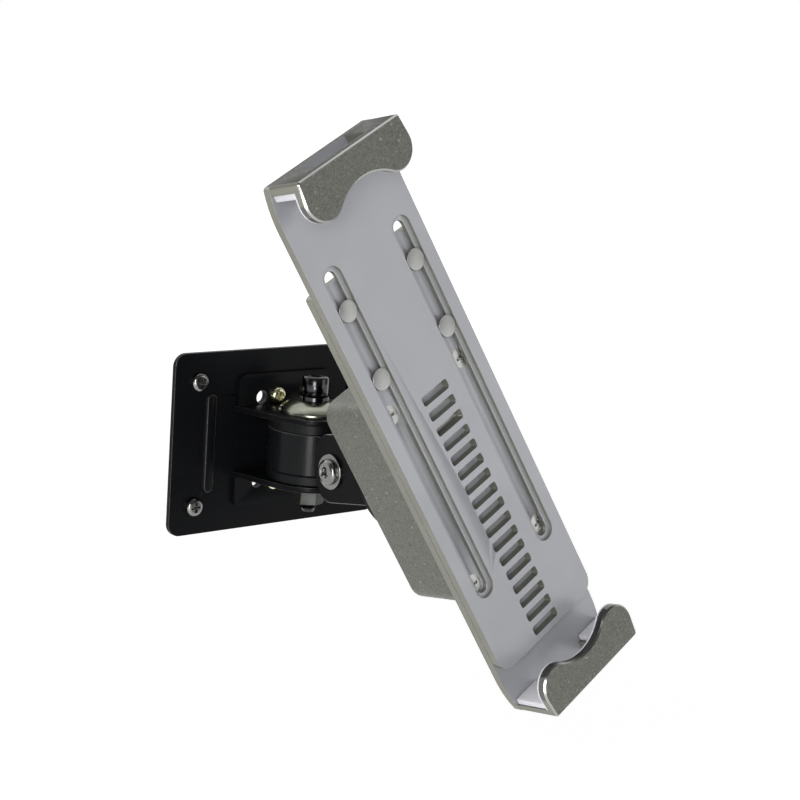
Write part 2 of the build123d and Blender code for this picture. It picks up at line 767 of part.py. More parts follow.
def jaw_pads(depth):
    """Soft pads on the inside of a jaw's outer wall, one on each side of its window."""
    pieces = []
    for side in (-1, 1):
        pad = block((side * pad_inner_edge, side * pad_outer_edge), (pad_side_gap, depth - pad_side_gap),
                    (jaw_sheet, jaw_sheet + pad_thickness))
        pieces.append(pad)
    return pieces


def upper_jaw_pads():
    turn = Pos(0, 0, upper_jaw_edge) * Rotation(0, 180, 0)
    return group([turn * pad for pad in jaw_pads(upper_plate_front)])


def lower_jaw_pads():
    return group([Pos(0, 0, lower_jaw_edge) * pad for pad in jaw_pads(lower_plate_front)])


def lip_pad():
    """The thin soft sheet behind a jaw's lip, with the lip's own outline up to the outer wall."""
    sheet = slab(lip_outline(), -lip_pad_thickness, 0)
    wall = block((-arm_half_width, arm_half_width), (-lip_pad_thickness, 0), (-cut_margin, jaw_sheet))
    return sheet - wall


def upper_lip_pad():
    return Pos(0, 0, upper_jaw_edge) * Rotation(0, 180, 0) * lip_pad()


def lower_lip_pad():
    return Pos(0, 0, lower_jaw_edge) * lip_pad()


def guide_studs():
    """Riveted studs: a shoulder in the guide slot and a thin head in its recess."""
    pieces = []
    recess_floor = upper_plate_front + guide_recess_depth
    head_back = recess_floor - running_clearance
    for x, z in guide_places():
        head = rod(guide_head_radius, "Y", (x, z), (head_back - guide_head_thickness, head_back))
        shoulder = rod(guide_shoulder_radius, "Y", (x, z), (head_back, lower_plate_front))
        stem = rod(guide_stem_radius, "Y", (x, z), (lower_plate_front, lower_plate_back))
        pieces.append(head + shoulder + stem)
    return group(pieces)


def lock_housing():
    """A cast box behind the plates, open towards them, with four screw bosses."""
    inside_half_width = housing_half_width - housing_wall
    inside_half_length = housing_half_length - housing_wall
    inside_corner_radius = housing_corner_radius - housing_wall
    outline = RectangleRounded(2 * housing_half_width, 2 * housing_half_length, housing_corner_radius)
    inner = RectangleRounded(2 * inside_half_width, 2 * inside_half_length, inside_corner_radius)
    box = slab(outline, lower_plate_back, housing_back)
    rim = box.faces().sort_by(Axis.Y)[-1].edges()
    box = fillet(rim, housing_back_edge_radius)
    box -= slab(inner, lower_plate_back, housing_inside_back)
    for x, z in boss_places():
        box += rod(boss_radius, "Y", (x, z), (lower_plate_back, housing_inside_back))
        screw_span = (lower_plate_back, lower_plate_back + housing_screw_length)
        box -= rod(housing_screw_radius, "Y", (x, z), screw_span)
    side_wall = (inside_half_width, housing_half_width)
    box -= rod(barrel_radius + running_clearance, "X", (lock_depth, lock_station), side_wall)
    back_wall = (housing_inside_back, housing_back)
    return box - rod(swivel_bolt_radius + swivel_clearance, "Y", (0, 0), back_wall)


def housing_screws():
    pieces = []
    for x, z in boss_places():
        start = lower_plate_front + housing_screw_head_depth
        shank = rod(housing_screw_radius, "Y", (x, z), (start, lower_plate_back + housing_screw_length))
        recess = cross_recess(x, z, lower_plate_front, housing_screw_head_depth, housing_screw_head_radius)
        pieces.append(countersink(x, z) + shank - recess)
    return group(pieces)


def lock_barrel():
    flange = (housing_half_width, housing_half_width + barrel_flange_thickness)
    at = (lock_depth, lock_station)
    collar = rod(barrel_flange_radius, "X", at, flange)
    collar = chamfer(collar.faces().sort_by(Axis.X)[-1].edges(), edge_chamfer)
    body = rod(barrel_radius, "X", at, (barrel_inner_end, housing_half_width))
    bore = rod(plug_radius + running_clearance, "X", at, (barrel_inner_end, max(flange)))
    return collar + body - bore


def lock_barrel_nut():
    outer = housing_half_width - housing_wall
    span = (outer - barrel_nut_thickness, outer)
    at = (lock_depth, lock_station)
    nut = hex_bar(barrel_nut_corner_radius * math.sqrt(3), "X", at, span)
    return nut - rod(barrel_radius, "X", at, span)


def lock_plug():
    """The part of the lock that the key turns."""
    face = housing_half_width + barrel_flange_thickness + plug_proud
    plug = rod(plug_radius, "X", (lock_depth, lock_station), (cam_face, face))
    slot = block((face - key_slot_depth, face),
                 (lock_depth - key_slot_length / 2, lock_depth + key_slot_length / 2),
                 (lock_station - key_slot_width / 2, lock_station + key_slot_width / 2))
    return plug - slot


def lock_cam():
    """A disc on the plug's inner end with an off-centre pin that drives the bolt."""
    disc = rod(cam_radius, "X", (lock_depth, lock_station), (cam_inner_face, cam_face))
    pin = rod(cam_pin_radius, "X", (cam_pin_depth, cam_pin_station), (cam_pin_end, cam_inner_face))
    return disc + pin


def lock_bolt():
    """The bolt that enters a lock slot, with a cross slot for the cam's pin."""
    body = block((-bolt_half_width, bolt_half_width), (bolt_shoulder_depth, bolt_rear_depth),
                 (lock_station - bolt_half_height, lock_station + bolt_half_height))
    nose = block((-bolt_half_width, bolt_half_width), (bolt_tip_depth, bolt_shoulder_depth),
                 (lock_station - bolt_nose_half_height, lock_station + bolt_nose_half_height))
    half = cam_pin_radius + bolt_slot_clearance
    end = half + cam_slot_end_gap
    slot = block((bolt_slot_floor, bolt_half_width), (cam_pin_depth - half, cam_pin_depth + half),
                 (cam_pin_station - end, lock_station + cam_pin_offset + end))
    return body + nose - slot


def bolt_guide():
    """A square sleeve on the back plate that keeps the lock bolt straight."""
    across = bolt_half_width + guide_block_clearance
    along = bolt_half_height + guide_block_clearance
    outer_across, outer_along = across + guide_block_wall, along + guide_block_wall
    depth = (lower_plate_back, guide_block_rear_depth)
    sleeve = block((-outer_across, outer_across), depth,
                   (lock_station - outer_along, lock_station + outer_along))
    bore = block((-across, across), depth, (lock_station - along, lock_station + along))
    return sleeve - bore


flat_washer, sprung_washer = pan_lower_washers()

wall_side = {
    "wall_plate": wall_plate(),
    "wall_screws": wall_screws(),
    "upper_bracket_ear": bracket_ear(1),
    "lower_bracket_ear": bracket_ear(-1),
    "bracket_screws": bracket_screws(),
    "pan_dome_washer": pan_dome_washer(),
    "pan_spring_washer": pan_spring_washer(),
    "pan_bolt": pan_bolt(),
    "pan_flat_washer": flat_washer,
    "pan_lower_spring_washer": sprung_washer,
    "pan_lock_nut": pan_lock_nut(),
    "knuckle": knuckle(),
    "upper_friction_disc": friction_disc(1),
    "lower_friction_disc": friction_disc(-1),
    "tilt_friction_washers": tilt_friction_washers(),
}

fork_side = {
    "tilt_fork": tilt_fork(),
    "tilt_bolt": tilt_bolt(),
    "tilt_washers": tilt_washers(),
    "tilt_lock_nut": tilt_lock_nut(),
}

# The swivel's pieces lie on the clamp's depth axis but keep the fork's upright
swivel_side = {
    "swivel_plate": swivel_plate(),
    "swivel_friction_disc": swivel_friction_disc(),
    "swivel_inner_washer": swivel_inner_washer(),
    "swivel_bolt": swivel_bolt(),
    "swivel_spring_washer": swivel_spring_washer(),
    "swivel_nut": swivel_nut(),
}

clamp_side = {
    "lower_jaw": lower_jaw(),
    "lower_jaw_pads": lower_jaw_pads(),
    "lower_lip_pad": lower_lip_pad(),
    "upper_jaw": upper_jaw(),
    "upper_jaw_pads": upper_jaw_pads(),
    "upper_lip_pad": upper_lip_pad(),
    "guide_studs": guide_studs(),
    "lock_housing": lock_housing(),
    "housing_screws": housing_screws(),
    "lock_barrel": lock_barrel(),
    "lock_barrel_nut": lock_barrel_nut(),
    "lock_plug": lock_plug(),
    "lock_cam": lock_cam(),
    "lock_bolt": lock_bolt(),
    "bolt_guide": bolt_guide(),
}

os.makedirs("parts", exist_ok=True)
for nodes, place in ((wall_side, Location()), (fork_side, fork_place),
                     (swivel_side, swivel_place), (clamp_side, clamp_place)):
    for name, shape in nodes.items():
        export_step(place * shape, f"parts/{name}.step")
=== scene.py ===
import json
import math

import bmesh
import bpy
from bpy.props import FloatProperty, FloatVectorProperty, IntProperty, PointerProperty
from bpy.types import Operator, Panel, PropertyGroup
from mathutils import Matrix, Vector

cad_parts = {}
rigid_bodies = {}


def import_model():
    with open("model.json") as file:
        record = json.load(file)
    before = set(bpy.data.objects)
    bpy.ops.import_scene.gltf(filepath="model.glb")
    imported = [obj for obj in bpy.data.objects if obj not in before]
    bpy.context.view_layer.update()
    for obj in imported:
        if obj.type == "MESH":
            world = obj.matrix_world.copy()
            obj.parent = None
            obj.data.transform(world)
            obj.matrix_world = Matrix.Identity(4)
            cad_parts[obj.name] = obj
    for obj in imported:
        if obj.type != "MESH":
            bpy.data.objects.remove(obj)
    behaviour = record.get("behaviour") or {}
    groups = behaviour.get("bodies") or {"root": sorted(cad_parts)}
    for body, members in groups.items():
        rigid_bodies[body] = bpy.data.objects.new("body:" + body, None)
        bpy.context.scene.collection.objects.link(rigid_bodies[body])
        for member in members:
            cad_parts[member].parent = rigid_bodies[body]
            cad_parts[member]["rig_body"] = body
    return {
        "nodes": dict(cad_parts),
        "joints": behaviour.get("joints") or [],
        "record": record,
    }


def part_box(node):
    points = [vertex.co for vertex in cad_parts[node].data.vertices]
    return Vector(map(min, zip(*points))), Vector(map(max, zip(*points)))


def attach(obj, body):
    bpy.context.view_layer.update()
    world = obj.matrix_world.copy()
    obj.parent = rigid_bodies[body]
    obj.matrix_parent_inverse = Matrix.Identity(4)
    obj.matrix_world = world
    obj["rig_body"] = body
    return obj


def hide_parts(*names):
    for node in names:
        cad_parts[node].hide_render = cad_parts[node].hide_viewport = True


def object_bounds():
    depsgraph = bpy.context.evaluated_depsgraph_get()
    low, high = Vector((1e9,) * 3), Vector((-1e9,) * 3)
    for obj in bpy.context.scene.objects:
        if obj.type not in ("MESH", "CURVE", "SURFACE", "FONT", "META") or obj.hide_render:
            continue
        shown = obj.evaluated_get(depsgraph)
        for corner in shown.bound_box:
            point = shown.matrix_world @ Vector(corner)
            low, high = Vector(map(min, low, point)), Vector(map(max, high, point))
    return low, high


bl_info = {
    "name": "Wall mount finish",
    "version": (1, 0, 0),
    "blender": (4, 5, 0),
    "location": "View3D > Sidebar > Wall mount",
    "description": "Gives the locking wall mount its finishes, small details, studio and camera",
    "category": "Object",
}

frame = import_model()
cad_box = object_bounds()
cad_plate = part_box("wall_plate")
joints = {joint["name"]: joint for joint in frame["joints"]}

MM = 0.001
FULL_TURN = 2 * math.pi
WHITE = (1.0, 1.0, 1.0)

# Points nearer than this are one, faces flatter than this are one, and edges milder than this look smooth
WELD = 0.002 * MM
FLAT_ANGLE = math.radians(0.4)
SMOOTH_ANGLE = math.radians(32)

# Threads: the depth and the ridge's foot are shares of the pitch, the tip and the foot's sunk edges of the
# root's radius, and the plain end is looked for within this many times the thread's radius
THREAD_DEPTH_SHARE = 0.55
THREAD_FOOT_SHARE = 0.92
THREAD_TIP_SHARE = 0.22
THREAD_FOOT_SINK = 0.99
THREAD_SEARCH = 1.6
THREAD_END_CHAMFER = 0.4 * MM

# Where a lighter black is painted on as edge highlights: along the plate's beads, round the plate's rim and
# round the hub's rim
BEAD_HALF_LENGTH = 18.8 * MM
BEAD_OUTER_X = 40 * MM
BEAD_FRONT_Y = -2.5 * MM
BEAD_SLOPE_LOW, BEAD_SLOPE_HIGH = 0.4, 0.9
BEAD_SIDE = 0.45
RIM_SHARE = 0.98
HUB_RIM = 14 * MM

# How a jaw's faces are told apart: by their turn, their area and their depth behind the held face
SQUARE_ON = 0.985
LEANING = 0.1
JAW_WALL_AREA = 60 * MM * MM
JAW_INSIDE_DEPTH = 5 * MM

# Studio: each lamp's name, place, size and power
FLOOR_REACH = 40.0
BACKDROP_SIDE = (0.25, 0.97, 0.0)
BACKDROP_START, BACKDROP_END = -0.05, 0.25
LAMPS = (
    ("Key softbox", (-0.78, -0.76, 0.24), (0.42, 0.42), 5.0),
    ("Fill softbox", (0.9, -1.1, 0.35), (0.7, 0.9), 2.5),
    ("Top softbox", (0.1, 0.1, 1.2), (1.0, 0.7), 0.8),
    ("Back softbox", (-0.4, 1.2, 0.6), (1.0, 0.7), 3.0),
    ("Low front lamp", (-0.72, -0.80, -0.19), (0.22, 0.22), 2.2),
)


def axis_turn(axis):
    """The rotation that takes Z to the axis."""
    return Vector(axis).to_track_quat("Z", "Y").to_matrix()


# The clamp's own axes, read from its joints: across, depth behind the held face, along the slide
FACE_CENTRE = Vector(joints["swivel"]["pos_m"])
DEPTH_AXIS = -Vector(joints["swivel"]["axis"]).normalized()
SLIDE_AXIS = Vector(joints["jaw_slide"]["axis"]).normalized()
ACROSS_AXIS = DEPTH_AXIS.cross(SLIDE_AXIS).normalized()
CLAMP_TURN = Matrix((ACROSS_AXIS, DEPTH_AXIS, SLIDE_AXIS)).transposed()
PAN_CENTRE = Vector(joints["pan"]["pos_m"])
TILT_CENTRE = Vector(joints["tilt"]["pos_m"])
LOCK_CENTRE = Vector(joints["key_turn"]["pos_m"])
LOCK_AXIS = Vector(joints["key_turn"]["axis"]).normalized()

# The middle of each group of patterns, and its turn, which takes Z to the axis of the turning marks
CLAMP_PATTERN = {"place": FACE_CENTRE, "turn": CLAMP_TURN}
LOCK_PATTERN = {"place": LOCK_CENTRE, "turn": axis_turn(LOCK_AXIS)}
SWIVEL_PATTERN = {"place": FACE_CENTRE, "turn": axis_turn(DEPTH_AXIS)}
TILT_PATTERN = {"place": TILT_CENTRE, "turn": axis_turn((1, 0, 0))}
PAN_PATTERN = {"place": PAN_CENTRE}
WALL_PATTERN = {"turn": axis_turn((0, 1, 0))}


class MountSizes(PropertyGroup):
    """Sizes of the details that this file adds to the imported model."""

    plate_edge: FloatProperty(
        name="Plate edge", description="Width of the small bevel on the black parts",
        default=0.28 * MM, unit="LENGTH", precision=5)
    jaw_edge: FloatProperty(
        name="Jaw edge", description="Width of the polished bevel along the jaws' edges",
        default=0.25 * MM, unit="LENGTH", precision=5)
    housing_edge: FloatProperty(
        name="Housing edge", description="Width of the bevel on the lock housing",
        default=0.35 * MM, unit="LENGTH", precision=5)
    fastener_edge: FloatProperty(
        name="Fastener edge", description="Width of the bevel on bolts, washers, nuts and thin discs",
        default=0.12 * MM, unit="LENGTH", precision=5)
    stud_edge: FloatProperty(
        name="Stud edge", description="Radius of the guide studs' rounded heads",
        default=0.45 * MM, unit="LENGTH", precision=5)
    pad_edge: FloatProperty(
        name="Pad edge", description="Radius of the rubber pads' edges",
        default=0.55 * MM, unit="LENGTH", precision=5)
    bolt_radius: FloatProperty(
        name="Bolt radius", description="Radius of the M6 bolts' thread",
        default=3.0 * MM, unit="LENGTH", precision=5)
    screw_radius: FloatProperty(
        name="Screw radius", description="Radius of the wall screws' thread",
        default=2.0 * MM, unit="LENGTH", precision=5)
    screw_point: FloatProperty(
        name="Screw point", description="Length of the wall screws' pointed end",
        default=4.0 * MM, unit="LENGTH", precision=5)
    bolt_thread_pitch: FloatProperty(
        name="Bolt thread pitch", description="Distance between the turns of an M6 thread",
        default=1.0 * MM, unit="LENGTH", precision=5)
    screw_thread_pitch: FloatProperty(
        name="Screw thread pitch",
        description="Distance between the turns of the wall screws' coarse thread",
        default=1.8 * MM, unit="LENGTH", precision=5)
    thread_steps: IntProperty(
        name="Thread steps", description="Faces in one turn of a thread", default=32, min=12)


class MountFinish(PropertyGroup):
    """Colours of the mount's finishes, in linear light."""

    black_coat: FloatVectorProperty(
        name="Black coat", description="Gloss black powder coat of the plate and the ears",
        subtype="COLOR", size=3, default=(0.0040, 0.0043, 0.0049), min=0, max=1)
    hub_black: FloatVectorProperty(
        name="Hub black", description="Satin black enamel of the knuckle",
        subtype="COLOR", size=3, default=(0.0048, 0.0053, 0.0058), min=0, max=1)
    # Painted highlight: a lighter black for edge bevels and bead slopes, standing in for the thin light
    # lines that edges catch
    rubbed_black: FloatVectorProperty(
        name="Rubbed black", description="The black coat where its edges are rubbed thin",
        subtype="COLOR", size=3, default=(0.034, 0.033, 0.030), min=0, max=1)
    jaw_paint: FloatVectorProperty(
        name="Jaw paint", description="Speckled silver-grey paint of the jaws",
        subtype="COLOR", size=3, default=(0.109, 0.111, 0.094), min=0, max=1)
    light_fleck: FloatVectorProperty(
        name="Light fleck", description="The few coarse flecks in the jaws' paint",
        subtype="COLOR", size=3, default=(0.30, 0.30, 0.28), min=0, max=1)
    jaw_inside: FloatVectorProperty(
        name="Jaw inside", description="Smooth pale grey inside the jaws",
        subtype="COLOR", size=3, default=(0.325, 0.33, 0.35), min=0, max=1)
    bare_edge: FloatVectorProperty(
        name="Bare edge", description="Light metal of the jaws' cut edges",
        subtype="COLOR", size=3, default=(0.235, 0.235, 0.20), min=0, max=1)
    bright_metal: FloatVectorProperty(
        name="Bright metal", description="Polished and plated metal",
        subtype="COLOR", size=3, default=(0.74, 0.74, 0.72), min=0, max=1)
    dull_sheet: FloatVectorProperty(
        name="Dull sheet", description="Pressed and plated sheet of the domed washer",
        subtype="COLOR", size=3, default=(0.31, 0.32, 0.26), min=0, max=1)
    grey_zinc: FloatVectorProperty(
        name="Grey zinc", description="Mottled grey zinc of the nuts",
        subtype="COLOR", size=3, default=(0.053, 0.055, 0.051), min=0, max=1)
    dark_oxide: FloatVectorProperty(
        name="Dark oxide", description="Dark plated steel of the pan bolt",
        subtype="COLOR", size=3, default=(0.055, 0.055, 0.058), min=0, max=1)
    key_brass: FloatVectorProperty(
        name="Key brass", description="Yellow metal of the plug that the key turns",
        subtype="COLOR", size=3, default=(0.70, 0.62, 0.42), min=0, max=1)
    zinc: FloatVectorProperty(
        name="Yellow zinc", description="Yellow zinc plating of the bracket screws",
        subtype="COLOR", size=3, default=(0.86, 0.84, 0.56), min=0, max=1)
    pad_rubber: FloatVectorProperty(
        name="Pad rubber", description="Pale rubber of the jaws' pads",
        subtype="COLOR", size=3, default=(0.58, 0.58, 0.61), min=0, max=1)
    floor: FloatVectorProperty(
        name="Floor", description="Pale floor under the mount",
        subtype="COLOR", size=3, default=(0.86, 0.86, 0.86), min=0, max=1)
    room: FloatVectorProperty(
        name="Room",
        description="The darker room behind the camera, which only glossy metal and paint reflect",
        subtype="COLOR", size=3, default=(0.10, 0.10, 0.10), min=0, max=1)


class StudioSettings(PropertyGroup):
    """Camera and studio."""

    camera_place: FloatVectorProperty(
        name="Camera place", description="Where the camera stands",
        subtype="TRANSLATION", unit="LENGTH", size=3, default=(-0.40735, -0.54374, 0.14909))
    camera_azimuth: FloatProperty(
        name="Camera azimuth", description="Direction of view round the upright axis, from +Y",
        default=math.radians(-40.780), unit="ROTATION")
    camera_elevation: FloatProperty(
        name="Camera elevation", description="How far the view looks down",
        default=math.radians(11.009), unit="ROTATION")
    camera_roll: FloatProperty(
        name="Camera roll", description="How far the camera leans to one side",
        default=math.radians(4.039), unit="ROTATION")
    camera_lens: FloatProperty(
        name="Lens", description="Focal length in millimetres on a 36 mm sensor", default=79.93, min=1)
    floor_drop: FloatProperty(
        name="Floor drop", description="How far the floor lies under the mount",
        default=0.22, unit="LENGTH")
    glow_start: FloatProperty(
        name="Glow start", description="Distance from the middle of the floor at which its glow grows",
        default=0.5, unit="LENGTH")
    glow_end: FloatProperty(
        name="Glow end", description="Distance at which the floor's glow is as strong as it gets",
        default=2.4, unit="LENGTH")
    near_glow: FloatProperty(
        name="Near glow", description="Level of the floor's glow under the mount", default=0.38, min=0)
    far_glow: FloatProperty(
        name="Far glow", description="Level of the floor's glow at the horizon", default=0.70, min=0)
    world_strength: FloatProperty(
        name="World strength", description="Level of the even light from all round", default=0.52, min=0)


# Shader helpers

# The places of a Mix node's colour sockets: its two inputs and its output
MIX_FIRST, MIX_SECOND, MIX_RESULT = 6, 7, 2


def add(tree, kind, **values):
    """A new node with its properties set by name."""
    node = tree.nodes.new(kind)
    for key, value in values.items():
        setattr(node, key, value)
    return node


def put(node, **sockets):
    """Sets input sockets by name, with _ for a space."""
    for key, value in sockets.items():
        node.inputs[key.replace("_", " ")].default_value = value
    return node


def feed(tree, source, target):
    """Links a socket to the target, or sets the target to a value."""
    if isinstance(source, bpy.types.NodeSocket):
        tree.links.new(source, target)
    else:
        target.default_value = source


def rgba(colour):
    return (colour[0], colour[1], colour[2], 1.0)


def noise(tree, vector, scale, detail=2.0, roughness=0.5):
    node = put(add(tree, "ShaderNodeTexNoise"), Detail=detail, Roughness=roughness)
    feed(tree, vector, node.inputs["Vector"])
    feed(tree, scale, node.inputs["Scale"])
    return node.outputs["Fac"]


def ramp(tree, source, low, high, to_low=0.0, to_high=1.0):
    """Stretches a value between two limits to two others."""
    node = add(tree, "ShaderNodeMapRange")
    for index, value in enumerate((source, low, high, to_low, to_high)):
        feed(tree, value, node.inputs[index])
    return node.outputs["Result"]


def calculate(tree, operation, first, second):
    node = add(tree, "ShaderNodeMath", operation=operation)
    feed(tree, first, node.inputs[0])
    feed(tree, second, node.inputs[1])
    return node.outputs[0]


def length_of(tree, vector):
    node = add(tree, "ShaderNodeVectorMath", operation="LENGTH")
    feed(tree, vector, node.inputs[0])
    return node.outputs["Value"]


def bump(tree, height, strength, distance):
    node = put(add(tree, "ShaderNodeBump"), Distance=distance)
    feed(tree, height, node.inputs["Height"])
    feed(tree, strength, node.inputs["Strength"])
    return node


def mix_colours(tree, factor, first, second):
    """A colour between two others, each a socket or a plain colour."""
    node = add(tree, "ShaderNodeMix", data_type="RGBA")
    feed(tree, factor, node.inputs[0])
    for index, colour in ((MIX_FIRST, first), (MIX_SECOND, second)):
        feed(tree, colour if isinstance(colour, bpy.types.NodeSocket) else rgba(colour), node.inputs[index])
    return node.outputs[MIX_RESULT]


def shader_group(name, inputs, outputs):
    """An empty node group with named sockets; returns its tree, its inputs and its outputs."""
    tree = bpy.data.node_groups.new(name, "ShaderNodeTree")
    for label, kind, default in inputs:
        socket = tree.interface.new_socket(label, in_out="INPUT", socket_type=kind)
        if default is not None:
            socket.default_value = default
    for label, kind in outputs:
        tree.interface.new_socket(label, in_out="OUTPUT", socket_type=kind)
    return tree, tree.nodes.new("NodeGroupInput").outputs, tree.nodes.new("NodeGroupOutput").inputs


FLOAT, VECTOR = "NodeSocketFloat", "NodeSocketVector"


def coat_texture_group():
    """Orange peel and fine grain of a sprayed coat, with patches that have been handled."""
    tree, given, out = shader_group(
        "Coat texture",
        (("Vector", VECTOR, None), ("Peel scale", FLOAT, 700.0), ("Grain scale", FLOAT, 3500.0),
         ("Peel height", FLOAT, 0.05), ("Grain height", FLOAT, 0.02)),
        (("Normal", VECTOR), ("Handled", FLOAT), ("Cloud", FLOAT)))
    peel = noise(tree, given["Vector"], given["Peel scale"])
    grain = noise(tree, given["Vector"], given["Grain scale"], detail=1.0)
    first = bump(tree, peel, given["Peel height"], distance=0.2 * MM)
    second = bump(tree, grain, given["Grain height"], distance=0.1 * MM)
    feed(tree, first.outputs["Normal"], second.inputs["Normal"])
    patches = noise(tree, given["Vector"], scale=45.0, detail=4.0, roughness=0.6)
    cloud = noise(tree, given["Vector"], scale=18.0)
    feed(tree, second.outputs["Normal"], out["Normal"])
    feed(tree, ramp(tree, patches, low=0.42, high=0.72), out["Handled"])
    feed(tree, ramp(tree, cloud, low=0.3, high=0.7), out["Cloud"])
    return tree


def fleck_group():
    """Bright and dark metal flecks of a speckled paint."""
    tree, given, out = shader_group(
        "Paint flecks",
        (("Vector", VECTOR, None), ("Scale", FLOAT, 1500.0), ("Share", FLOAT, 0.12)),
        (("Bright", FLOAT), ("Dark", FLOAT), ("Height", FLOAT)))
    cells = add(tree, "ShaderNodeTexVoronoi")
    feed(tree, given["Vector"], cells.inputs["Vector"])
    feed(tree, given["Scale"], cells.inputs["Scale"])
    parts = add(tree, "ShaderNodeSeparateColor")
    feed(tree, cells.outputs["Color"], parts.inputs["Color"])
    for part, fleck in (("Red", "Bright"), ("Green", "Dark")):
        feed(tree, calculate(tree, "LESS_THAN", parts.outputs[part], given["Share"]), out[fleck])
    feed(tree, parts.outputs["Blue"], out["Height"])
    return tree


def turned_group():
    """Fine rings that a lathe leaves round the pattern's Z axis."""
    tree, given, out = shader_group(
        "Turned rings",
        (("Vector", VECTOR, None), ("Rings per metre", FLOAT, 4000.0), ("Height", FLOAT, 0.1)),
        (("Normal", VECTOR),))
    parts = add(tree, "ShaderNodeSeparateXYZ")
    feed(tree, given["Vector"], parts.inputs[0])
    flat = add(tree, "ShaderNodeCombineXYZ")
    for side in "XY":
        feed(tree, parts.outputs[side], flat.inputs[side])
    lines = put(add(tree, "ShaderNodeTexNoise", noise_dimensions="1D"), Detail=2.0)
    along = calculate(tree, "ADD", length_of(tree, flat.outputs[0]), parts.outputs["Z"])
    feed(tree, along, lines.inputs["W"])
    feed(tree, given["Rings per metre"], lines.inputs["Scale"])
    rings = bump(tree, lines.outputs["Fac"], given["Height"], distance=0.1 * MM)
    feed(tree, rings.outputs["Normal"], out["Normal"])
    return tree


def age_group():
    """Slow clouds and small specks of dust and wear."""
    tree, given, out = shader_group(
        "Age",
        (("Vector", VECTOR, None), ("Speck scale", FLOAT, 900.0)),
        (("Cloud", FLOAT), ("Specks", FLOAT)))
    cloud = noise(tree, given["Vector"], scale=60.0, detail=3.0, roughness=0.6)
    speck = noise(tree, given["Vector"], given["Speck scale"], roughness=0.7)
    feed(tree, ramp(tree, cloud, low=0.35, high=0.7), out["Cloud"])
    feed(tree, ramp(tree, speck, low=0.62, high=0.70), out["Specks"])
    return tree


SHARED_EFFECTS = {
    "Coat texture": coat_texture_group,
    "Paint flecks": fleck_group,
    "Turned rings": turned_group,
    "Age": age_group,
}


class Finish:
    """A material under construction: its tree, its shader and its coordinates."""

    def __init__(self, name, place=None, turn=None):
        self.material = bpy.data.materials.new(name)
        self.material.use_nodes = True
        self.tree = self.material.node_tree
        self.shader = self.tree.nodes["Principled BSDF"]
        coordinates = add(self.tree, "ShaderNodeTexCoord")
        mapping = add(self.tree, "ShaderNodeMapping", vector_type="TEXTURE")
        if place is not None:
            mapping.inputs["Location"].default_value = place
        if turn is not None:
            mapping.inputs["Rotation"].default_value = turn.to_euler("XYZ")
        feed(self.tree, coordinates.outputs["Object"], mapping.inputs["Vector"])
        self.vector = mapping.outputs["Vector"]

    def use(self, name, **values):
        """Places a shared group, built on its first use, and returns its outputs."""
        group = bpy.data.node_groups.get(name) or SHARED_EFFECTS[name]()
        node = add(self.tree, "ShaderNodeGroup", node_tree=group)
        feed(self.tree, self.vector, node.inputs["Vector"])
        return put(node, **values).outputs

    def between(self, mask, low, high):
        """A mask from 0 to 1, stretched between two values."""
        return ramp(self.tree, mask, 0.0, 1.0, low, high)

    def blend(self, mask, first, second, share):
        """The first colour, with that share of the second where the mask is 1."""
        return mix_colours(self.tree, self.between(mask, 0.0, share), first, second)

    def to(self, socket, source):
        feed(self.tree, source, self.shader.inputs[socket])


def tint(colour, factor):
    return tuple(channel * factor for channel in colour)


def shade(name, factor=1.0):
    """A colour of the panel, made lighter or darker by the factor."""
    return tint(getattr(bpy.context.scene.mount_finish, name), factor)


def kept_as(name):
    """Makes a material function build its material once, under that name, and give the same one later."""
    def keep(build):
        def kept():
            return bpy.data.materials.get(name) or build(name)
        return kept
    return keep


# Finishes

# How much rougher a coat is where it has been handled
HANDLED_ROUGHER = 0.12


def coated(name, colour, roughness, peel=0.12, specular=0.5):
    """Sprayed or moulded surface with orange peel, soft clouds and handled patches."""
    finish = Finish(name)
    put(finish.shader, Metallic=0.0, Specular_IOR_Level=specular)
    coat = finish.use("Coat texture", Peel_height=peel, Grain_height=peel / 2)
    finish.to("Base Color", finish.blend(coat["Cloud"], colour, tint(colour, 1.5), share=0.35))
    finish.to("Roughness", finish.between(coat["Handled"], roughness, roughness + HANDLED_ROUGHER))
    finish.to("Normal", coat["Normal"])
    return finish.material


def speckled(name, colour):
    """Paint with fine bright and dark flecks and a few coarse light ones."""
    finish = Finish(name, **CLAMP_PATTERN)
    flecks = finish.use("Paint flecks", Scale=2100.0, Share=0.20)
    coarse = finish.use("Paint flecks", Scale=1300.0, Share=0.008)
    coat = finish.use("Coat texture", Peel_height=0.30, Grain_height=0.35, Grain_scale=2600.0)
    base = finish.blend(coat["Cloud"], colour, tint(colour, 1.16), share=0.5)
    base = finish.blend(flecks["Bright"], base, tint(colour, 1.6), share=0.55)
    base = finish.blend(flecks["Dark"], base, tint(colour, 0.55), share=0.55)
    base = finish.blend(coarse["Bright"], base, shade("light_fleck"), share=0.55)
    put(finish.shader, Metallic=0.30)
    finish.to("Base Color", base)
    finish.to("Roughness", finish.between(flecks["Height"], low=0.34, high=0.52))
    finish.to("Normal", coat["Normal"])
    return finish.material


def metal(name, colour, roughness, place=None, turn=None, rings=0.12, spread=0.12, shine=1.0):
    """Plated or polished metal with turning marks about the pattern's Z axis."""
    finish = Finish(name, place, turn)
    put(finish.shader, Metallic=shine)
    turned = finish.use("Turned rings", Height=rings)
    age = finish.use("Age")
    worn = finish.blend(age["Cloud"], colour, tint(colour, 0.86), share=0.5)
    finish.to("Base Color", finish.blend(age["Specks"], worn, tint(colour, 0.55), share=0.25))
    finish.to("Roughness", finish.between(age["Cloud"], roughness, roughness + spread))
    finish.to("Normal", turned["Normal"])
    return finish.material


@kept_as("Gloss black coat")
def black_coat(name):
    return coated(name, shade("black_coat"), roughness=0.26, specular=0.06)
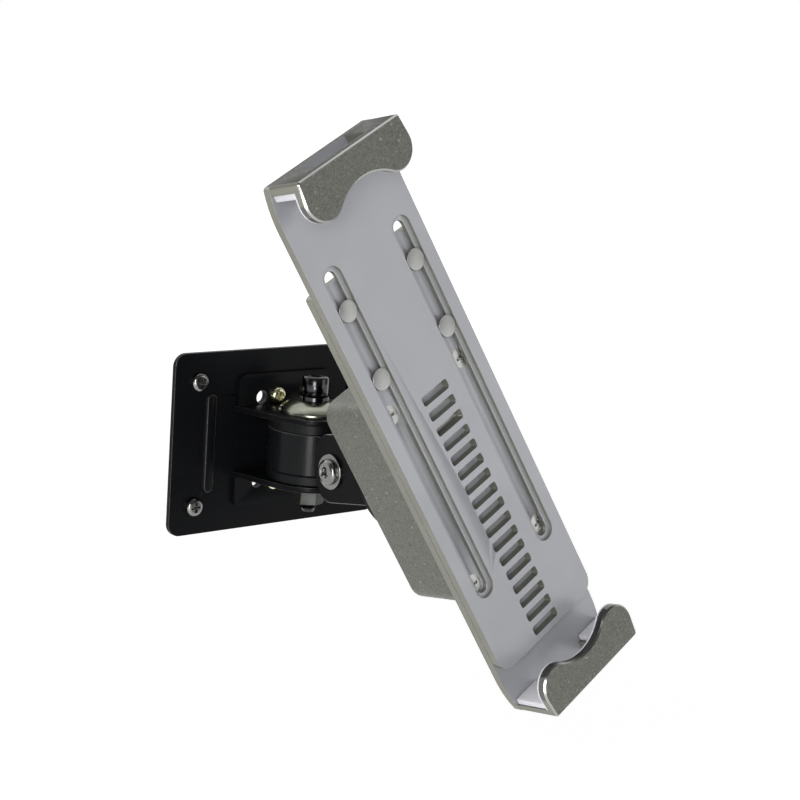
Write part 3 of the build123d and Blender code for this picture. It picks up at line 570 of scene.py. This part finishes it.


# Painted highlight: lighter black on the plate's bead and rim bevels, the +X bead slopes and every fork and
# swivel plate bevel
@kept_as("Rubbed black edge")
def painted_highlight_coat(name):
    return coated(name, shade("rubbed_black"), roughness=0.22)


# Painted highlight: a lighter, half-metal black on the ears' front edges and the hub's top rim
@kept_as("Worn black edge")
def painted_highlight_edge(name):
    return metal(name, shade("rubbed_black", 4.0), roughness=0.30, rings=0.02, shine=0.6)


@kept_as("Satin hub enamel")
def hub_enamel(name):
    return coated(name, shade("hub_black"), roughness=0.24, peel=0.05, specular=0.12)


@kept_as("Friction plastic")
def friction_plastic(name):
    return coated(name, shade("hub_black"), roughness=0.38, peel=0.22, specular=0.13)


@kept_as("Speckled jaw paint")
def jaw_paint(name):
    return speckled(name, shade("jaw_paint"))


# Painted shade: the jaws' own paint at under half its level on the outer walls, as if they lay in shade
@kept_as("Outer wall paint")
def shaded_wall_paint(name):
    return speckled(name, shade("jaw_paint", 0.46))


@kept_as("Smooth jaw inside")
def smooth_inside(name):
    colour, roughness = shade("jaw_inside"), 0.30
    finish = Finish(name, **CLAMP_PATTERN)
    coat = finish.use("Coat texture", Peel_height=0.03, Grain_height=0.02)
    put(finish.shader, Metallic=0.25)
    finish.to("Base Color", finish.blend(coat["Cloud"], colour, tint(colour, 0.9), share=0.6))
    finish.to("Roughness", finish.between(coat["Handled"], roughness, roughness + HANDLED_ROUGHER))
    finish.to("Normal", coat["Normal"])
    return finish.material


@kept_as("Cut jaw edge")
def cut_edge(name):
    return metal(name, shade("bare_edge"), roughness=0.34, rings=0.05, shine=0.6, **CLAMP_PATTERN)


@kept_as("Polished jaw edge")
def polished_edge(name):
    return metal(name, shade("bright_metal", 0.52), roughness=0.18, rings=0.03, **CLAMP_PATTERN)


@kept_as("Bright lip side")
def lip_side(name):
    return metal(name, shade("bright_metal", 0.20), roughness=0.13, rings=0.03, **CLAMP_PATTERN)


@kept_as("Pale pad rubber")
def pad_rubber(name):
    return coated(name, shade("pad_rubber"), roughness=0.55, peel=0.3, specular=0.4)


@kept_as("Plain steel")
def plain_steel(name):
    return metal(name, shade("bright_metal", 0.7), roughness=0.34, **CLAMP_PATTERN)


@kept_as("Stud steel")
def stud_steel(name):
    return metal(name, shade("bright_metal", 0.5), roughness=0.30, **CLAMP_PATTERN)


@kept_as("Lock nickel")
def lock_nickel(name):
    return metal(name, shade("bright_metal"), roughness=0.14, **LOCK_PATTERN)


@kept_as("Key plug")
def plug_brass(name):
    return metal(name, shade("key_brass"), roughness=0.26, **LOCK_PATTERN)


@kept_as("Swivel steel")
def swivel_steel(name):
    return metal(name, shade("bright_metal", 0.8), roughness=0.26, **SWIVEL_PATTERN)


@kept_as("Dull plated sheet")
def dull_sheet(name):
    return metal(name, shade("dull_sheet"), roughness=0.20, rings=0.2, **PAN_PATTERN)


@kept_as("Grey zinc")
def grey_zinc(name):
    return metal(name, shade("grey_zinc"), roughness=0.38, rings=0.1, spread=0.2, **PAN_PATTERN)


@kept_as("Dark oxide steel")
def dark_oxide(name):
    return metal(name, shade("dark_oxide"), roughness=0.16, rings=0.1, spread=0.1, **PAN_PATTERN)


@kept_as("Tilt chrome")
def tilt_chrome(name):
    return metal(name, shade("bright_metal", 0.30), roughness=0.14, rings=0.06, **TILT_PATTERN)


@kept_as("Wall screw chrome")
def wall_chrome(name):
    return metal(name, shade("bright_metal", 0.34), roughness=0.12, rings=0.02, **WALL_PATTERN)


@kept_as("Yellow zinc")
def yellow_zinc(name):
    return metal(name, shade("zinc"), roughness=0.22, rings=0.02, **WALL_PATTERN)


JAW_FINISHES = (jaw_paint, smooth_inside, cut_edge, polished_edge, lip_side, shaded_wall_paint)


# Mesh helpers

def clamp_depth(point):
    """How far a point lies behind the held face, in metres."""
    return (Vector(point) - FACE_CENTRE).dot(DEPTH_AXIS)


def merged_copy(node):
    """A bmesh of a node's mesh, with its loose triangles merged into whole faces."""
    bm = bmesh.new()
    bm.from_mesh(frame["nodes"][node].data)
    bmesh.ops.remove_doubles(bm, verts=bm.verts, dist=WELD)
    bmesh.ops.dissolve_limit(bm, angle_limit=FLAT_ANGLE, verts=bm.verts, edges=bm.edges)
    return bm


def bevel_sharp(bm, width, steeper_than=60, segments=1, worn=None):
    """Breaks every sharp edge with a small bevel, which takes the second finish, a painted highlight, where
    `worn` says so.
    """
    limit = math.radians(steeper_than)
    edges = [edge for edge in bm.edges if len(edge.link_faces) == 2 and edge.calc_face_angle() > limit]
    broken = bmesh.ops.bevel(bm, geom=edges, offset=width, offset_type="OFFSET", affect="EDGES",
                             segments=segments, profile=0.5, material=-1, clamp_overlap=True)
    for face in broken["faces"]:
        if worn is None or worn(face.calc_center_median()):
            face.material_index = 1


def stand_for(node, bm, materials):
    """Makes the bmesh an object that takes the place of one node: it has its body."""
    mesh = bpy.data.meshes.new(f"{node}_finished")
    bm.to_mesh(mesh)
    bm.free()
    for material in materials:
        mesh.materials.append(material)
    mesh.shade_smooth()
    mesh.set_sharp_from_angle(angle=SMOOTH_ANGLE)
    piece = bpy.data.objects.new(f"{node}_finished", mesh)
    bpy.context.scene.collection.objects.link(piece)
    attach(piece, frame["nodes"][node]["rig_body"])
    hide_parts(node)


def dress(node, material, edge, edge_material=None, **how):
    """A node's own shape, merged, with its edges broken and its finish on."""
    bm = merged_copy(node)
    bevel_sharp(bm, edge, **how)
    stand_for(node, bm, [material, edge_material or material])


def paint_node(node, material):
    """Gives a CAD node its finish and leaves its mesh as it is."""
    data = frame["nodes"][node].data
    data.materials.clear()
    data.materials.append(material)


def axis_foot(point, centre, axis):
    """The point of the axis through the centre that lies nearest."""
    return centre + (point - centre).project(axis)


def set_radius(verts, centre, axis, radius):
    """Moves points straight in or out until they stand at the radius from the axis."""
    for vert in verts:
        foot = axis_foot(vert.co, centre, axis)
        vert.co = foot + (vert.co - foot).normalized() * radius


def extrude_loop(bm, edges, step):
    """Extrudes a loop of edges by a step and returns the new loop and its points."""
    made = bmesh.ops.extrude_edge_only(bm, edges=edges)["geom"]
    verts = [item for item in made if isinstance(item, bmesh.types.BMVert)]
    bmesh.ops.translate(bm, verts=verts, vec=step)
    return [item for item in made if isinstance(item, bmesh.types.BMEdge)
            and item.verts[0] in verts and item.verts[1] in verts], verts


def centre_of(item):
    """The middle of a face, edge or point."""
    if isinstance(item, bmesh.types.BMVert):
        return item.co
    return sum((vert.co for vert in item.verts), Vector()) / len(item.verts)


def add_ridge(bm, centre, axis, root, crest, pitch, reach):
    """Winds a three-sided ridge round the axis, from one turn before the centre, and returns its points."""
    steps = bpy.context.scene.mount_sizes.thread_steps
    known = set(bm.verts)
    side = axis.orthogonal().normalized()
    half, foot = THREAD_FOOT_SHARE * pitch / 2, THREAD_FOOT_SINK * root
    first = centre - axis * pitch
    corners = [bm.verts.new(first + side * out + axis * along)
               for out, along in ((foot, -half), (crest, 0.0), (foot, half))]
    ridge = bm.faces.new(corners)
    count = round((reach - half + pitch) / pitch * steps)
    bmesh.ops.spin(bm, geom=[ridge, *ridge.edges, *corners], cent=centre, axis=axis,
                   dvec=axis * (pitch / steps), angle=FULL_TURN * count / steps, steps=count)
    return [vert for vert in bm.verts if vert not in known]


def threaded_end(bm, centre, axis, radius, pitch, length, point=0.0):
    """Cuts a plain end off past the centre and puts a threaded one of the same length in its place.

    The axis points out of the bolt. With a point, the last part of the length is a cone."""
    centre, axis = Vector(centre), Vector(axis).normalized()
    root = radius - THREAD_DEPTH_SHARE * pitch
    tip_radius = THREAD_TIP_SHARE * root if point else root - THREAD_END_CHAMFER
    taper = point or THREAD_END_CHAMFER
    near = [item for item in bm.faces[:] + bm.edges[:] + bm.verts[:]
            if (centre_of(item) - axis_foot(centre_of(item), centre, axis)).length < THREAD_SEARCH * radius]
    cut = bmesh.ops.bisect_plane(bm, geom=near, dist=WELD, plane_co=centre, plane_no=axis, clear_outer=True)
    loop = [item for item in cut["geom_cut"] if isinstance(item, bmesh.types.BMEdge)]
    straight = length - taper
    for step, end_radius in ((0, root), (straight, root), (taper, tip_radius)):
        loop, verts = extrude_loop(bm, loop, axis * step)
        set_radius(verts, centre, axis, end_radius)
    bmesh.ops.edgeloop_fill(bm, edges=loop)
    for vert in add_ridge(bm, centre, axis, root, radius, pitch, straight + point / 2):
        past = (vert.co - centre).dot(axis) - straight
        if point and past > 0:
            foot = axis_foot(vert.co, centre, axis)
            vert.co = foot + (vert.co - foot) * (1 - past / point)
    bmesh.ops.recalc_face_normals(bm, faces=bm.faces)


def dress_bolt(node, material, centre, axis, length):
    """An M6 bolt's own shape with a threaded end past the centre."""
    sizes = bpy.context.scene.mount_sizes
    bm = merged_copy(node)
    bevel_sharp(bm, sizes.fastener_edge)
    threaded_end(bm, centre, axis, sizes.bolt_radius, sizes.bolt_thread_pitch, length)
    stand_for(node, bm, [material, material])


def dress_wall_screws(material):
    """The four wall screws, each with a coarse thread and a point behind the plate."""
    sizes = bpy.context.scene.mount_sizes
    studs = next(mount for mount in frame["record"]["mounts"] if mount["kind"] == "bolt_pattern")
    half_x, half_z = (studs["dims"][side] * MM / 2 for side in ("spacing_x_mm", "spacing_y_mm"))
    bm = merged_copy("wall_screws")
    bevel_sharp(bm, sizes.fastener_edge)
    for x in (-half_x, half_x):
        for z in (-half_z, half_z):
            threaded_end(bm, (x, WELD, z), (0, 1, 0), sizes.screw_radius, sizes.screw_thread_pitch,
                         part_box("wall_screws")[1].y - WELD, sizes.screw_point)
    stand_for("wall_screws", bm, [material, material])


# Operators

class MOUNT_OT_wall_bracket(Operator):
    """Finish the wall plate and the two bracket ears"""

    bl_idname = "mount.wall_bracket"
    bl_label = "Wall plate and ears"

    def execute(self, context):
        edge = context.scene.mount_sizes.plate_edge
        bm = merged_copy("wall_plate")
        # The plate's bead and rim bevels and the bead slopes that look to +X take a painted highlight
        bevel_sharp(bm, edge, steeper_than=25, worn=on_bead_or_rim)
        bm.normal_update()
        for face in bm.faces:
            if is_bead_flank(face):
                face.material_index = 1
        stand_for("wall_plate", bm, [black_coat(), painted_highlight_coat()])
        # The ears' bevels along their front edges take a painted highlight
        for node in ("upper_bracket_ear", "lower_bracket_ear"):
            dress(node, black_coat(), edge, painted_highlight_edge(), segments=2,
                  worn=lambda at: at.y < PAN_CENTRE.y / 2)
        return {"FINISHED"}


def on_bead_or_rim(place):
    """The edges along the plate's two beads and round its front rim, which take a painted highlight."""
    on_bead = place.y < BEAD_FRONT_Y and abs(place.z) < BEAD_HALF_LENGTH
    on_rim = max(abs(place.x) / cad_plate[1].x, abs(place.z) / cad_plate[1].z) > RIM_SHARE
    return on_bead or on_rim


def is_bead_flank(face):
    """The slopes along the plate's two beads that look to +X, which take a painted highlight as the lit
    side.
    """
    centre = face.calc_center_median()
    return (BEAD_SLOPE_LOW < -face.normal.y < BEAD_SLOPE_HIGH and face.normal.x > BEAD_SIDE
            and abs(centre.z) < BEAD_HALF_LENGTH and abs(centre.x) < BEAD_OUTER_X)


class MOUNT_OT_knuckle(Operator):
    """Finish the hub, its friction discs and the tilt washers"""

    bl_idname = "mount.knuckle"
    bl_label = "Knuckle"

    def execute(self, context):
        sizes = context.scene.mount_sizes
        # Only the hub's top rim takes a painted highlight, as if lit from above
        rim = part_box("upper_friction_disc")[0].z - 2 * sizes.plate_edge
        dress("knuckle", hub_enamel(), sizes.plate_edge, painted_highlight_edge(),
              worn=lambda at: at.z > rim and (at - PAN_CENTRE).xy.length > HUB_RIM)
        for node in ("upper_friction_disc", "lower_friction_disc", "tilt_friction_washers"):
            dress(node, friction_plastic(), sizes.fastener_edge)
        return {"FINISHED"}


class MOUNT_OT_jaws(Operator):
    """Finish the two jaws: speckled outside, smooth inside, polished edges"""

    bl_idname = "mount.jaws"
    bl_label = "Jaws"

    def execute(self, context):
        for node, outward in (("upper_jaw", SLIDE_AXIS), ("lower_jaw", -SLIDE_AXIS)):
            bm = merged_copy(node)
            bevel_sharp(bm, context.scene.mount_sizes.jaw_edge)
            bm.normal_update()
            for face in bm.faces:
                face.material_index = JAW_FINISHES.index(jaw_finish(face, outward))
            stand_for(node, bm, [finish() for finish in JAW_FINISHES])
        return {"FINISHED"}


def jaw_finish(face, outward):
    """The finish that one of a jaw's faces takes, by where it looks and how deep it lies."""
    back = face.normal.dot(DEPTH_AXIS)
    out = face.normal.dot(outward)
    depth = clamp_depth(face.calc_center_median())
    if back < -SQUARE_ON:
        return jaw_paint if depth < 0 else smooth_inside
    if back > SQUARE_ON:
        return smooth_inside if depth < JAW_INSIDE_DEPTH else jaw_paint
    # The large outer walls take the darkened copy of the jaw paint: painted shade
    if out > SQUARE_ON and face.calc_area() > JAW_WALL_AREA:
        return shaded_wall_paint
    if abs(back) > LEANING:
        return polished_edge
    return lip_side if depth < 0 and out < SQUARE_ON else cut_edge


class MOUNT_OT_jaw_pads(Operator):
    """Finish the pale rubber pads inside the jaws"""

    bl_idname = "mount.jaw_pads"
    bl_label = "Jaw pads"

    def execute(self, context):
        sizes = context.scene.mount_sizes
        for node in ("upper_jaw_pads", "lower_jaw_pads"):
            dress(node, pad_rubber(), sizes.pad_edge, segments=3)
        for node in ("upper_lip_pad", "lower_lip_pad"):
            dress(node, pad_rubber(), sizes.fastener_edge)
        return {"FINISHED"}


class MOUNT_OT_housing(Operator):
    """Finish the lock housing, what it holds and the plates' guide studs"""

    bl_idname = "mount.housing"
    bl_label = "Lock housing"

    def execute(self, context):
        sizes = context.scene.mount_sizes
        dress("lock_housing", jaw_paint(), sizes.housing_edge)
        dress("guide_studs", stud_steel(), sizes.stud_edge, segments=3)
        for node in ("housing_screws", "lock_cam", "lock_bolt", "bolt_guide", "swivel_inner_washer"):
            paint_node(node, plain_steel())
        return {"FINISHED"}


class MOUNT_OT_lock(Operator):
    """Finish the key lock"""

    bl_idname = "mount.lock"
    bl_label = "Key lock"

    def execute(self, context):
        edge = context.scene.mount_sizes.fastener_edge
        dress("lock_barrel", lock_nickel(), edge)
        dress("lock_plug", plug_brass(), edge)
        paint_node("lock_barrel_nut", lock_nickel())
        return {"FINISHED"}


class MOUNT_OT_fork(Operator):
    """Finish the tilt fork and the swivel"""

    bl_idname = "mount.fork"
    bl_label = "Fork and swivel"

    def execute(self, context):
        sizes = context.scene.mount_sizes
        # Every bevel of the fork and the swivel plate takes the painted highlight black
        for node in ("tilt_fork", "swivel_plate"):
            dress(node, black_coat(), sizes.plate_edge, painted_highlight_coat())
        dress("swivel_friction_disc", friction_plastic(), sizes.fastener_edge)
        for node in ("swivel_bolt", "swivel_spring_washer", "swivel_nut"):
            dress(node, swivel_steel(), sizes.fastener_edge)
        return {"FINISHED"}


class MOUNT_OT_fasteners(Operator):
    """Finish the bolts, washers, nuts and screws of the pan and tilt joints and the wall"""

    bl_idname = "mount.fasteners"
    bl_label = "Fasteners"

    def execute(self, context):
        edge = context.scene.mount_sizes.fastener_edge
        dress("pan_dome_washer", dull_sheet(), edge)
        dress("pan_spring_washer", dark_oxide(), edge)
        for node in ("pan_flat_washer", "pan_lower_spring_washer", "pan_lock_nut"):
            dress(node, grey_zinc(), edge)
        nut_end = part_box("pan_lock_nut")[0].z
        dress_bolt("pan_bolt", dark_oxide(), (PAN_CENTRE.x, PAN_CENTRE.y, nut_end), (0, 0, -1),
                   nut_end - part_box("pan_bolt")[0].z)
        for node in ("tilt_washers", "tilt_lock_nut"):
            dress(node, tilt_chrome(), edge)
        nut_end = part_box("tilt_lock_nut")[1].x
        dress_bolt("tilt_bolt", tilt_chrome(), (nut_end, TILT_CENTRE.y, TILT_CENTRE.z), (1, 0, 0),
                   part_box("tilt_bolt")[1].x - nut_end)
        dress_wall_screws(wall_chrome())
        dress("bracket_screws", yellow_zinc(), edge)
        return {"FINISHED"}


class MOUNT_OT_studio(Operator):
    """Set up the floor, the soft lights and the camera"""

    bl_idname = "mount.studio"
    bl_label = "Studio"

    def execute(self, context):
        finish, studio = context.scene.mount_finish, context.scene.mount_studio
        make_floor(finish.floor, studio)
        make_world(studio.world_strength, finish.room)
        for name, place, size, power in LAMPS:
            area_lamp(name, place, size, power)
        make_camera(studio)
        context.scene.view_settings.view_transform = "Standard"
        return {"FINISHED"}


def area_lamp(name, place, size, power):
    """A soft lamp that looks at the middle of the mount."""
    data = bpy.data.lights.new(name, "AREA")
    data.shape = "RECTANGLE"
    data.size, data.size_y = size
    data.energy = power
    lamp = bpy.data.objects.new(name, data)
    lamp.location = place
    lamp.rotation_mode = "QUATERNION"
    middle = (cad_box[0] + cad_box[1]) / 2
    lamp.rotation_quaternion = (middle - lamp.location).to_track_quat("-Z", "Y")
    lamp.visible_camera = False
    bpy.context.scene.collection.objects.link(lamp)


def seen_share(tree):
    """1 for the rays that see the background as it is: the camera's, through glass or off gloss."""
    path = add(tree, "ShaderNodeLightPath").outputs
    seen = calculate(tree, "MAXIMUM", path["Is Camera Ray"], path["Is Transmission Ray"])
    return calculate(tree, "MAXIMUM", seen, path["Is Glossy Ray"])


def make_floor(colour, studio):
    """A pale floor that runs on to the horizon and meets the backdrop there without a line."""
    bm = bmesh.new()
    bmesh.ops.create_grid(bm, x_segments=2, y_segments=2, size=FLOOR_REACH)
    bmesh.ops.translate(bm, verts=bm.verts, vec=(0, 0, cad_box[0].z - studio.floor_drop))
    mesh = bpy.data.meshes.new("Floor")
    bm.to_mesh(mesh)
    bm.free()
    mesh.materials.append(floor_paint(colour, studio))
    floor = bpy.data.objects.new("Floor", mesh)
    bpy.context.scene.collection.objects.link(floor)


def floor_paint(colour, studio):
    """Dull pale paint with a glow of its own that grows towards the horizon."""
    material = bpy.data.materials.new("Pale floor")
    material.use_nodes = True
    tree = material.node_tree
    shader = put(tree.nodes["Principled BSDF"], Base_Color=rgba(colour), Roughness=0.9,
                 Specular_IOR_Level=0.0)
    distance = length_of(tree, add(tree, "ShaderNodeTexCoord").outputs["Object"])
    lift = ramp(tree, distance, studio.glow_start, studio.glow_end, studio.near_glow, studio.far_glow)
    glow = add(tree, "ShaderNodeEmission")
    feed(tree, calculate(tree, "MULTIPLY", lift, seen_share(tree)), glow.inputs["Strength"])
    total = add(tree, "ShaderNodeAddShader")
    feed(tree, shader.outputs[0], total.inputs[0])
    feed(tree, glow.outputs[0], total.inputs[1])
    feed(tree, total.outputs[0], tree.nodes["Material Output"].inputs["Surface"])
    return material


def make_world(strength, room):
    """Even light all round; gloss sees a white backdrop behind the mount and a darker room in front."""
    world = bpy.data.worlds.new("Pale studio")
    bpy.context.scene.world = world
    world.use_nodes = True
    tree = world.node_tree
    toward = add(tree, "ShaderNodeVectorMath", operation="DOT_PRODUCT")
    feed(tree, add(tree, "ShaderNodeTexCoord").outputs["Generated"], toward.inputs[0])
    toward.inputs[1].default_value = BACKDROP_SIDE
    backdrop = ramp(tree, toward.outputs["Value"], BACKDROP_START, BACKDROP_END)
    glossy = add(tree, "ShaderNodeLightPath").outputs["Is Glossy Ray"]
    colour = mix_colours(tree, glossy, WHITE, mix_colours(tree, backdrop, room, WHITE))
    background = tree.nodes["Background"]
    feed(tree, colour, background.inputs["Color"])
    feed(tree, ramp(tree, seen_share(tree), 0.0, 1.0, strength, 1.0), background.inputs["Strength"])


def make_camera(studio):
    data = bpy.data.cameras.new("Camera")
    data.sensor_width = 36.0
    data.lens = studio.camera_lens
    data.clip_start, data.clip_end = 0.05, 80.0
    camera = bpy.data.objects.new("Camera", data)
    bpy.context.scene.collection.objects.link(camera)
    turn = (Matrix.Rotation(studio.camera_azimuth, 3, "Z")
            @ Matrix.Rotation(math.pi / 2 - studio.camera_elevation, 3, "X")
            @ Matrix.Rotation(studio.camera_roll, 3, "Z"))
    camera.rotation_mode = "QUATERNION"
    camera.rotation_quaternion = turn.to_quaternion()
    camera.location = studio.camera_place
    bpy.context.scene.camera = camera


class MOUNT_PT_finish(Panel):
    """Lists the steps that finish the wall mount"""

    bl_label = "Wall mount"
    bl_idname = "MOUNT_PT_finish"
    bl_space_type = "VIEW_3D"
    bl_region_type = "UI"
    bl_category = "Wall mount"

    def draw(self, context):
        for step in STEPS:
            self.layout.operator(step.bl_idname)
        for group in (context.scene.mount_sizes, context.scene.mount_finish, context.scene.mount_studio):
            column = self.layout.column()
            for name in group.bl_rna.properties.keys():
                if name not in {"rna_type", "name"}:
                    column.prop(group, name)


GROUPS = {"mount_sizes": MountSizes, "mount_finish": MountFinish, "mount_studio": StudioSettings}
STEPS = (MOUNT_OT_wall_bracket, MOUNT_OT_knuckle, MOUNT_OT_jaws, MOUNT_OT_jaw_pads, MOUNT_OT_housing,
         MOUNT_OT_lock, MOUNT_OT_fork, MOUNT_OT_fasteners, MOUNT_OT_studio)


def register():
    for name, group in GROUPS.items():
        bpy.utils.register_class(group)
        setattr(bpy.types.Scene, name, PointerProperty(type=group))
    for step in (*STEPS, MOUNT_PT_finish):
        bpy.utils.register_class(step)


def unregister():
    for step in (*STEPS, MOUNT_PT_finish):
        bpy.utils.unregister_class(step)
    for name, group in GROUPS.items():
        delattr(bpy.types.Scene, name)
        bpy.utils.unregister_class(group)


def main():
    register()
    for step in STEPS:
        category, name = step.bl_idname.split(".")
        getattr(getattr(bpy.ops, category), name)()


if __name__ == "__main__":
    main()
